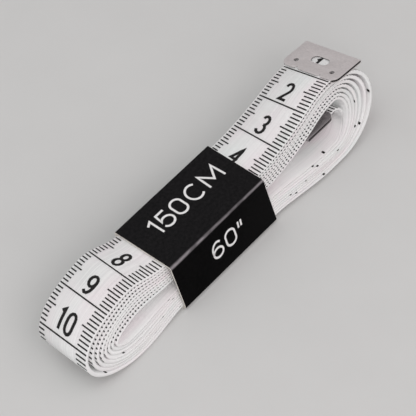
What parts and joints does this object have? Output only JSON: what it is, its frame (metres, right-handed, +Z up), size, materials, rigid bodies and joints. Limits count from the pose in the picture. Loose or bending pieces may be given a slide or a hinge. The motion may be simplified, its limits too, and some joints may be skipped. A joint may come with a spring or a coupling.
{
  "type": "cloth tape measure",
  "caption": "Soft cloth tape measure wound flat into a hank, with a folded metal clip on each end, held round its middle by a slide-off card sleeve.",
  "frame": {"origin": "bottom centre of the whole part's box, on the surface it lies on", "axes": "+X along the hank to the loop with the outer end clip, +Y to the back, +Z up"},
  "size_m": [0.102, 0.0224, 0.0194],
  "materials": {
    "tape": "satin coated cloth with black print",
    "card": "matt black coated card with a pale core",
    "clip_metal": "satin"
  },
  "bodies": {
    "tape": {"tape_ribbon": "tape", "outer_end_clip": "clip_metal", "inner_end_clip": "clip_metal"},
    "sleeve": {"card_sleeve": "card"}
  },
  "joints": [
    {"name": "sleeve_slide", "type": "slide", "parent": "tape", "child": "sleeve", "axis": [-1, 0, 0], "range_m": [0, 0.065], "deforming": ["tape_ribbon"]}
  ]
}
